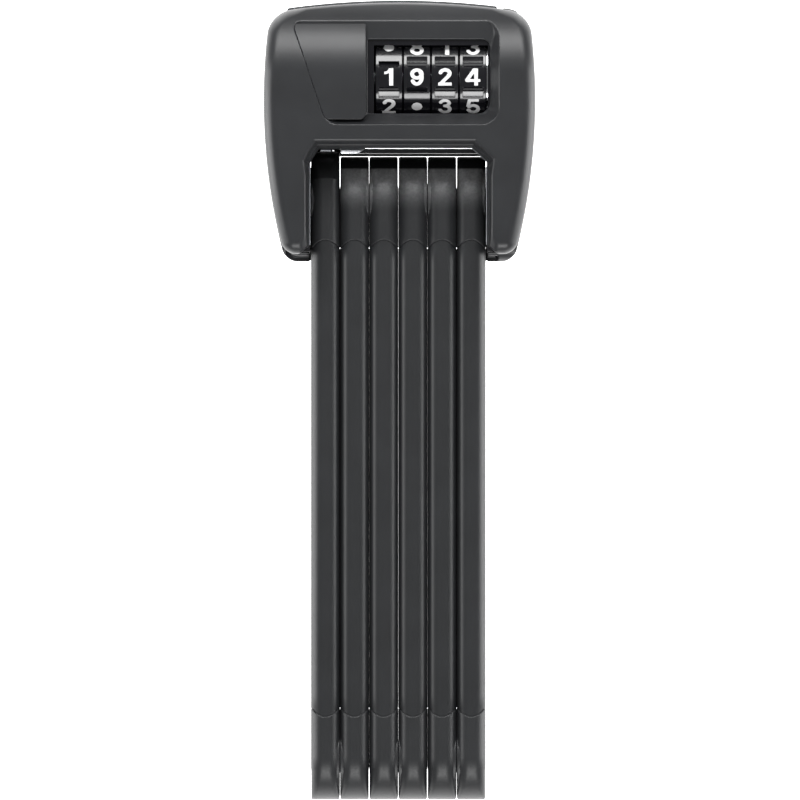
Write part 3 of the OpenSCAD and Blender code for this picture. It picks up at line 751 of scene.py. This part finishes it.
def digit(d, x, y):
    """Distance to a plain bold digit about 3.4 wide and 4.9 high, centred; a dot stands for 0."""
    if d == 0:
        return np.hypot(x, y) - 1.3
    if d == 1:
        flag = np.maximum(arc(x, y, -1.0, 2.5, 1.3, 1.35, 262, 350, 0.36), -1.15 - x)
        return np.minimum(box(x, y, 0.05, 1.05, -2.45, 2.45), np.maximum(flag, y - 2.45))
    if d == 2:
        foot = box(x, y, -1.68, 1.66, -2.45, -1.58)
        slant = np.maximum(line(x, y, 0.95, 0.35, -1.2, -2.05, 0.45), -2.45 - y)
        return union(arc(x, y, 0.02, 1.05, 1.13, 0.95, -40, 170), slant, foot)
    if d == 3:
        return union(arc(x, y, -0.02, 1.15, 1.05, 0.86, -85, 165, 0.44),
                     arc(x, y, 0.0, -0.9, 1.2, 1.1, -165, 85, 0.46), box(x, y, -0.45, 0.3, -0.17, 0.63))
    if d == 4:
        stem = box(x, y, 0.3, 1.22, -2.45, 2.45)
        bar = box(x, y, -1.75, 1.8, -1.42, -0.62)
        slant = sheared(x, y, 0.62, 2.45, -1.5, -0.9, 0.46, -1.2, 2.45)
        return union(stem, bar, np.maximum(slant, x - 0.9))
    if d == 5:
        stem = sheared(x, y, -0.85, 2.1, -1.22, 0.1, 0.42, 0.0, 2.4)
        return union(box(x, y, -1.1, 1.45, 1.62, 2.45), stem, arc(x, y, 0.05, -0.8, 1.22, 1.18, -160, 145))
    if d in (6, 9):
        s = 1 if d == 6 else -1
        u, v = s * x, s * y
        return union(arc(u, v, 0.02, -0.85, 1.18, 1.12, 0, 360),
                     arc(u, v, 0.05, 0.05, 1.23, 1.95, 35, 225))
    if d == 7:
        stem = sheared(x, y, 1.15, 1.9, -0.5, -2.45, 0.47, -2.45, 1.7)
        return union(box(x, y, -1.6, 1.65, 1.6, 2.45), stem)
    return union(arc(x, y, 0, 1.2, 1.0, 0.82, 0, 360, 0.44), arc(x, y, 0, -0.95, 1.2, 1.07, 0, 360))


def digit_patch(d):
    """Grid of quads inside a digit's outline, with its border pulled onto the outline."""
    h = 0.1
    gx, gy = np.meshgrid(np.arange(-1.95, 2.0, h), np.arange(-2.75, 2.8, h), indexing="ij")
    inside = digit(d, gx, gy) < 0
    touched = inside[:-1, :-1] | inside[1:, :-1] | inside[:-1, 1:] | inside[1:, 1:]
    full = inside[:-1, :-1] & inside[1:, :-1] & inside[:-1, 1:] & inside[1:, 1:]
    ids = np.full(touched.shape, -1)
    ids[touched] = np.arange(touched.sum())
    p = np.stack([gx[:-1, :-1][touched] + h / 2, gy[:-1, :-1][touched] + h / 2], 1)
    edge = ~full[touched]
    e = 0.01
    for _ in range(4):
        x, y = p[edge].T
        f = digit(d, x, y)
        across = digit(d, x + e, y) - digit(d, x - e, y)
        up = digit(d, x, y + e) - digit(d, x, y - e)
        g = np.stack([across, up], 1)
        g /= np.maximum(np.linalg.norm(g, axis=1), 1e-9)[:, None]
        p[edge] -= g * np.clip(f, -h / 2, h / 2)[:, None]
    quads = [(ids[a - 1, b - 1], ids[a, b - 1], ids[a, b], ids[a - 1, b])
             for a, b in np.argwhere(inside)]
    return p, quads


def make_digits(i, x0, patches):
    """A wheel's ten digits, wrapped on its tread so that the shown one faces the window."""
    points, faces = [], []
    base = 0
    r = WHEEL_R - 0.02
    for d, (flat, quads) in enumerate(patches):
        turn = ((SHOWN[i - 1] - d) % 10) * STEP
        angle = turn + DIGIT_HEIGHT * flat[:, 1] / r
        y, z = WHEEL_Y + r * np.sin(angle), WHEEL_Z + r * np.cos(angle)
        points.append(np.stack([x0 + flat[:, 0], y, z], 1))
        faces += [tuple(base + k for k in q) for q in quads]
        base += len(flat)
    obj = mesh_object(f"digits_{i}", np.concatenate(points), faces, None, WHITE)
    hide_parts(f"number_wheel_{i}")
    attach(obj, f"wheel_{i}")


def make_wheels():
    patches = [digit_patch(d) for d in range(10)]
    for i, x in enumerate(WHEEL_X, 1):
        make_wheel(i, x)
        make_digits(i, x, patches)


# ---------------------------------------------------------------- small fittings of the lock body
def tube(name, path, r, mat, n=16):
    """Round bar along straight stretches in one plane, with its ends closed."""
    path = [Vector(p) for p in path]
    points, faces = [], []
    for k, p in enumerate(path):
        before, after = path[max(k - 1, 0)], path[min(k + 1, len(path) - 1)]
        along = (after - before).normalized()
        across = along.cross(Vector((0, 0, 1))).normalized()
        for a in np.linspace(0, 2 * math.pi, n, endpoint=False):
            points.append(tuple(p + r * math.cos(a) * across + r * math.sin(a) * Vector((0, 0, 1))))
    for k in range(len(path) - 1):
        a0, b0 = k * n, (k + 1) * n
        faces += [(a0 + a, a0 + (a + 1) % n, b0 + (a + 1) % n, b0 + a) for a in range(n)]
    faces += [tuple(range(n))[::-1], tuple(range(len(points) - n, len(points)))]
    obj = mesh_object(name, points, faces, None, mat)
    obj.data.set_sharp_from_angle(angle=math.radians(50))
    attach(obj, "lock_body")


def make_fittings():
    """Steel edge round the throat, dark back edges, the first bar's stop pin and the ramp beside it."""
    z = CHAMFER_Z + 0.2
    left, right = THROAT_X[0] + 0.1, THROAT_X[1] - 0.1
    left_edge = left - 0.12
    top, corner_x = THROAT_TOP + 0.15, 17.9
    high, low = UP_Y + 8, FRONT_FOOT + 2.5
    tube("throat_edge_top", [(-8.5, top, z), (corner_x, top, z)], 0.24, POLISHED)
    tube("throat_edge_corner", [(corner_x, top, z), (THROAT_X[1], UP_Y + 9.2, z)], 0.13, RIVET)
    tube("throat_edge_left", [(left_edge, high, z), (left_edge, low, z)], 0.14, RIVET)
    tube("throat_edge_right", [(right, high, z), (right, low, z)], 0.18, RIVET)
    for name, x in (("left", left), ("right", right)):
        tube(f"back_edge_{name}", [(x, high, 3), (x, REAR_FOOT + 0.3, 3)], 0.18, SHEET)
    pin_y, pin_z = THROAT_TOP - 0.2, SPLIT_Z + 1
    tube("stop_pin", [(-19.5, pin_y, pin_z), (-16.9, pin_y, pin_z)], 0.5, RIVET)
    tube("stop_pin_tip", [(-16.6, pin_y, pin_z), (-16.15, pin_y, pin_z)], 0.42, POLISHED)
    ramp_top, ramp_foot = THROAT_TOP + 0.3, UP_Y + 11.2
    outline = [(-14.6, ramp_top), (-14.4, ramp_foot), (-10.6, ramp_foot), (-7.6, ramp_top)]
    points = [(x, y, CHAMFER_Z - 3) for x, y in outline]
    points += [(x, y, CHAMFER_Z + 0.6 - 0.36 * (y - ramp_foot)) for x, y in outline]
    faces = [(3, 2, 1, 0), (4, 5, 6, 7)] + [(k, (k + 1) % 4, (k + 1) % 4 + 4, k + 4) for k in range(4)]
    ramp = mesh_object("throat_ramp", points, faces, None, CASE)
    ramp.data.set_sharp_from_angle(angle=math.radians(30))
    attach(ramp, "lock_body")


# ---------------------------------------------------------------- CAD nodes that are shown as they are
FINISH = {
    "lock_case": SHEET, "wheel_frame": GLOSS, "cover_leaf": SHEET, "wheel_spindle": CASE,
    "end_washer": POLISHED, "detent_comb": SPRING, "bolt_carrier": CASE, "locking_bolt": RIVET,
    "bolt_spring": SPRING, "button_spring": SPRING, "cover_screws": RIVET, "pivot_rivet": RIVET,
}
FINISH.update({f"code_sleeve_{i}": BRASS for i in range(1, WHEELS + 1)})
FINISH.update({f"bar_core_{i}": CORE for i in range(1, BARS + 1)})
FINISH.update({f"rivet_{i}": RIVET for i in range(1, BARS)})
BROKEN_EDGES = {"lock_case": 0.15, "wheel_frame": 0.1, "bolt_carrier": 0.15, "locking_bolt": 0.1,
                "cover_screws": 0.08, "pivot_rivet": 0.12}
BROKEN_EDGES.update({f"rivet_{i}": 0.12 for i in range(1, BARS)})


def finish_cad_nodes():
    """Materials for the CAD nodes that stay, and broken edges where a sharp one would show."""
    for node, mat in FINISH.items():
        obj = bpy.data.objects[node]
        obj.data.materials.clear()
        obj.data.materials.append(mat)
        if node in BROKEN_EDGES:
            bevel = obj.modifiers.new("edges", "BEVEL")
            bevel.width = BROKEN_EDGES[node] * M
            bevel.segments = 2
            bevel.limit_method = "ANGLE"
            bevel.angle_limit = math.radians(40)
            bevel.harden_normals = True


# ---------------------------------------------------------------- studio
def area_light(name, at, towards, size, power):
    data = bpy.data.lights.new(name, "AREA")
    data.shape = "RECTANGLE"
    data.size, data.size_y = size
    data.energy = power
    light = bpy.data.objects.new(name, data)
    light.location = at
    direction = Vector(towards) - Vector(at)
    light.rotation_euler = direction.to_track_quat("-Z", "Y").to_euler()
    light.visible_camera = False
    bpy.context.scene.collection.objects.link(light)


def make_studio():
    """Dim white world, bright floor and four soft boxes; their places are in metres."""
    world = bpy.data.worlds.new("studio")
    world.use_nodes = True
    background = world.node_tree.nodes["Background"]
    background.inputs["Color"].default_value = (1, 1, 1, 1)
    background.inputs["Strength"].default_value = 0.16
    bpy.context.scene.world = world

    floor_mat, tree, shader = new_material("floor", (0.94, 0.94, 0.94), 0.9, spec=0.1)
    shader.inputs["Emission Color"].default_value = (1, 1, 1, 1)
    shader.inputs["Emission Strength"].default_value = 1.3
    tint(tree, shader, noise(tree, 3, 2), (0.93, 0.93, 0.93), (0.95, 0.95, 0.95))
    # The floor lies low enough for bars that swing down behind the lock body
    far, low = 60000, -320
    corners = [(-far, -far, low), (far, -far, low), (far, far, low), (-far, far, low)]
    floor = mesh_object("floor", corners, [(0, 1, 2, 3)], None, floor_mat)

    area_light("brow_box", (0, 0.80, 0.86), (0, 0.09, 0.02), (1.3, 0.42), 16)
    area_light("left_box", (-1.1, 0.0, 0.16), (0, 0, 0.02), (0.25, 1.0), 7)
    area_light("right_box", (1.1, 0.0, 0.16), (0, 0, 0.02), (0.25, 1.0), 7)
    area_light("fill_box", (0.1, -1.15, 1.1), (0, 0, 0.02), (0.9, 0.6), 13)


def make_camera():
    """Long lens straight above the front, so that the lock's length fills the picture; in metres."""
    height, focus_z, seen, shift_x = 7.0, 0.02, 0.19744, 0.00012
    data = bpy.data.cameras.new("front")
    data.sensor_width = 36
    data.lens = data.sensor_width * (height - focus_z) / seen
    cam = bpy.data.objects.new("front", data)
    cam.location = (shift_x, 0, height)
    bpy.context.scene.collection.objects.link(cam)
    bpy.context.scene.camera = cam


make_body_pieces()
make_bars()
make_wheels()
make_fittings()
finish_cad_nodes()
make_studio()
make_camera()
bpy.context.scene.view_settings.view_transform = "Standard"
